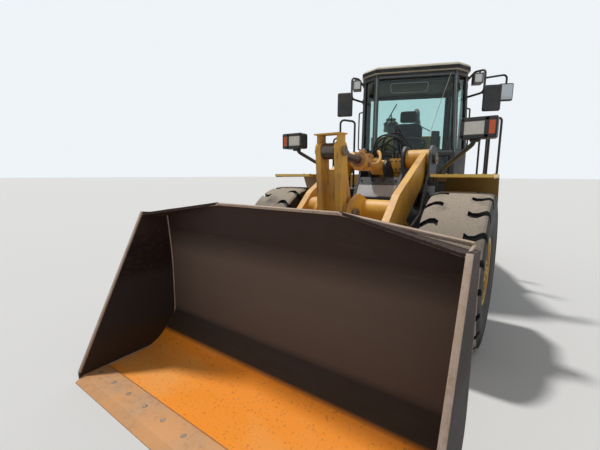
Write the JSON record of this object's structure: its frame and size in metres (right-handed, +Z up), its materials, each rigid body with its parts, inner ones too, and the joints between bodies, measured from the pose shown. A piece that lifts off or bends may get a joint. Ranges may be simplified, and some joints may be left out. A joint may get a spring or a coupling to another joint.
{
  "type": "wheel loader",
  "caption": "Articulated wheel loader with a closed cab, a wide bucket on a Z-bar linkage, working cylinders and lug tyres.",
  "frame": {"origin": "middle of the machine's box, on the ground", "axes": "+Z up; the front half points along -Y and its left side is +X; the rear half is turned about the articulation pin"},
  "size_m": [3.857, 8.1882, 3.33],
  "materials": {
    "bucket_steel": "worn",
    "casting": "matt",
    "dark": "matt",
    "edge_steel": "worn",
    "glass": "clear",
    "interior": "matt",
    "lamp_black": "matt",
    "lens": "clear",
    "orange": "gloss",
    "pin": "satin",
    "red": "gloss",
    "rim_yellow": "satin",
    "rod": "polished",
    "roof": "satin",
    "seat": "matt",
    "tyre": "matt",
    "yellow": "satin"
  },
  "bodies": {
    "rear_frame": {"air_cleaner": "dark", "cab_glass": "glass", "cab_mounts": "dark", "cab_roof": "roof", "cab_shell": "dark", "controls": "interior", "counterweight": "dark", "engine": "casting", "exhaust_stack": "dark", "handrails": "lamp_black", "hood": "yellow", "left_deck": "dark", "mirror_arms": "lamp_black", "mirrors": "lamp_black", "radiator": "casting", "rear_axle": "casting", "rear_drive_shafts": "casting", "rear_fenders": "yellow", "rear_frame": "dark", "right_deck": "dark", "seat": "seat", "tail_lamps": "red", "transmission": "casting", "work_lamps": "lamp_black"},
    "front_frame": {"front_frame": "dark", "front_axle": "casting", "front_drive_shaft": "casting", "front_fenders": "yellow", "head_lamps": "lamp_black", "head_lamp_lenses": "lens", "signal_lenses": "orange"},
    "boom": {"boom": "yellow"},
    "bucket_pins": {"bucket_pins": "pin"},
    "bucket": {"bucket": "bucket_steel", "bucket_edge": "edge_steel"},
    "bell_crank_pin": {"bell_crank_pin": "pin"},
    "bell_crank": {"bell_crank": "yellow"},
    "link_pin": {"link_pin": "pin"},
    "tilt_link": {"tilt_link": "yellow"},
    "tilt_barrel": {"tilt_barrel": "yellow"},
    "tilt_rod": {"tilt_rod": "rod"},
    "lift_barrels": {"lift_barrels": "yellow"},
    "lift_rods": {"lift_rods": "rod"},
    "cab_door": {"cab_door": "dark", "door_glass": "glass"},
    "rear_grille": {"rear_grille": "dark"},
    "wheel_front_left": {"tyre_front_left": "tyre", "rim_front_left": "rim_yellow"},
    "wheel_rear_left": {"tyre_rear_left": "tyre", "rim_rear_left": "rim_yellow"},
    "steer_barrel_left": {"steer_barrel_left": "yellow"},
    "steer_rod_left": {"steer_rod_left": "rod"},
    "hood_door_left": {"hood_door_left": "yellow"},
    "wheel_front_right": {"tyre_front_right": "tyre", "rim_front_right": "rim_yellow"},
    "wheel_rear_right": {"tyre_rear_right": "tyre", "rim_rear_right": "rim_yellow"},
    "steer_barrel_right": {"steer_barrel_right": "yellow"},
    "steer_rod_right": {"steer_rod_right": "rod"},
    "hood_door_right": {"hood_door_right": "yellow"}
  },
  "joints": [
    {"name": "steer", "type": "hinge", "parent": "rear_frame", "child": "front_frame", "pos_m": [0.48862, 0.30589, 0.8], "axis": [0, 0, 1], "range_deg": [-16, 60]},
    {"name": "lift", "type": "hinge", "parent": "front_frame", "child": "boom", "pos_m": [0.48862, -0.72411, 1.97], "axis": [-1, 0, 0], "range_deg": [0, 84]},
    {"name": "bucket_level", "type": "hinge", "parent": "boom", "child": "bucket_pins", "pos_m": [0.48862, -2.92411, 0.4], "axis": [1, 0, 0], "range_deg": [-0.01, 84.01]},
    {"name": "tilt", "type": "hinge", "parent": "bucket_pins", "child": "bucket", "pos_m": [0.48862, -2.92411, 0.4], "axis": [1, 0, 0], "range_deg": [-45, 45]},
    {"name": "bell_crank_lift", "type": "hinge", "parent": "boom", "child": "bell_crank_pin", "pos_m": [0.48862, -2.09411, 1.38], "axis": [1, 0, 0], "range_deg": [-21.1, 0.01]},
    {"name": "bell_crank_tilt", "type": "hinge", "parent": "bell_crank_pin", "child": "bell_crank", "pos_m": [0.48862, -2.09411, 1.38], "axis": [1, 0, 0], "range_deg": [-17.63, 17.63]},
    {"name": "link_lift", "type": "hinge", "parent": "bell_crank", "child": "link_pin", "pos_m": [0.48862, -1.99411, 0.74], "axis": [1, 0, 0], "range_deg": [-0.01, 43.48]},
    {"name": "link_tilt", "type": "hinge", "parent": "link_pin", "child": "tilt_link", "pos_m": [0.48862, -1.99411, 0.74], "axis": [1, 0, 0], "range_deg": [-15.52, 15.52]},
    {"name": "tilt_barrel_swing", "type": "hinge", "parent": "front_frame", "child": "tilt_barrel", "pos_m": [0.48862, -0.94411, 1.866], "axis": [1, 0, 0], "range_deg": [-89.02, 0.01]},
    {"name": "tilt_rod_slide", "type": "slide", "parent": "tilt_barrel", "child": "tilt_rod", "axis": [0, -0.9945, 0.1049], "range_m": [-0.16693, 0.16693]},
    {"name": "lift_barrel_swing", "type": "hinge", "parent": "front_frame", "child": "lift_barrels", "pos_m": [0.48862, -0.41411, 0.88], "axis": [-1, 0, 0], "range_deg": [-0.01, 40.27]},
    {"name": "lift_rod_slide", "type": "slide", "parent": "lift_barrels", "child": "lift_rods", "axis": [0, -0.936, 0.352], "range_m": [-0.0005, 0.89974]},
    {"name": "wheel_front_left_spin", "type": "hinge", "parent": "front_frame", "child": "wheel_front_left", "pos_m": [1.57362, -1.34411, 0.8], "axis": [1, 0, 0], "continuous": true},
    {"name": "wheel_front_right_spin", "type": "hinge", "parent": "front_frame", "child": "wheel_front_right", "pos_m": [-0.59638, -1.34411, 0.8], "axis": [1, 0, 0], "continuous": true},
    {"name": "wheel_rear_left_spin", "type": "hinge", "parent": "rear_frame", "child": "wheel_rear_left", "pos_m": [0.87652, 2.24219, 0.8], "axis": [0.9272, 0.3746, 0], "continuous": true},
    {"name": "wheel_rear_right_spin", "type": "hinge", "parent": "rear_frame", "child": "wheel_rear_right", "pos_m": [-1.13547, 1.42929, 0.8], "axis": [0.9272, 0.3746, 0], "continuous": true},
    {"name": "steer_barrel_left_swing", "type": "hinge", "parent": "rear_frame", "child": "steer_barrel_left", "pos_m": [0.73101, 1.09408, 0.72], "axis": [0, 0, 1], "range_deg": [-6.81, 25.51]},
    {"name": "steer_rod_left_slide", "type": "slide", "parent": "steer_barrel_left", "child": "steer_rod_left", "axis": [0.1161, -0.9932, 0], "range_m": [-0.4665, 0.12477]},
    {"name": "steer_barrel_right_swing", "type": "hinge", "parent": "rear_frame", "child": "steer_barrel_right", "pos_m": [-0.23326, 0.70449, 0.72], "axis": [0, 0, 1], "range_deg": [-6.81, 25.51]},
    {"name": "steer_rod_right_slide", "type": "slide", "parent": "steer_barrel_right", "child": "steer_rod_right", "axis": [0.3183, -0.948, 0], "range_m": [-0.12477, 0.4665]},
    {"name": "cab_door_hinge", "type": "hinge", "parent": "rear_frame", "child": "cab_door", "pos_m": [1.24371, 0.45242, 2.37], "axis": [0, 0, -1], "range_deg": [0, 65]},
    {"name": "hood_door_left_hinge", "type": "hinge", "parent": "rear_frame", "child": "hood_door_left", "pos_m": [0.2982, 2.4723, 2.227], "axis": [0.3746, -0.9272, 0], "range_deg": [0, 80]},
    {"name": "hood_door_right_hinge", "type": "hinge", "parent": "rear_frame", "child": "hood_door_right", "pos_m": [-0.87932, 1.99655, 2.227], "axis": [-0.3746, 0.9272, 0], "range_deg": [0, 80]},
    {"name": "rear_grille_hinge", "type": "hinge", "parent": "rear_frame", "child": "rear_grille", "pos_m": [-0.35981, 3.73257, 1.78], "axis": [0, 0, -1], "range_deg": [0, 100]}
  ],
  "couplings": [
    {"joint": "bucket_level", "follows": "lift", "ratio": 1},
    {"joint": "bell_crank_lift", "follows": "lift", "ratio": -0.2511},
    {"joint": "bell_crank_tilt", "follows": "tilt", "ratio": -0.3916},
    {"joint": "link_lift", "follows": "lift", "ratio": 0.5175},
    {"joint": "link_tilt", "follows": "tilt", "ratio": 0.3446},
    {"joint": "tilt_barrel_swing", "follows": "lift", "ratio": -1.0597},
    {"joint": "tilt_rod_slide", "follows": "tilt", "m_per_rad": -0.2119},
    {"joint": "lift_barrel_swing", "follows": "lift", "ratio": 0.47925},
    {"joint": "lift_rod_slide", "follows": "lift", "m_per_rad": 0.61337},
    {"joint": "steer_barrel_left_swing", "follows": "steer", "ratio": 0.425},
    {"joint": "steer_rod_left_slide", "follows": "steer", "m_per_rad": -0.445},
    {"joint": "steer_barrel_right_swing", "follows": "steer", "ratio": 0.425},
    {"joint": "steer_rod_right_slide", "follows": "steer", "m_per_rad": 0.445}
  ]
}
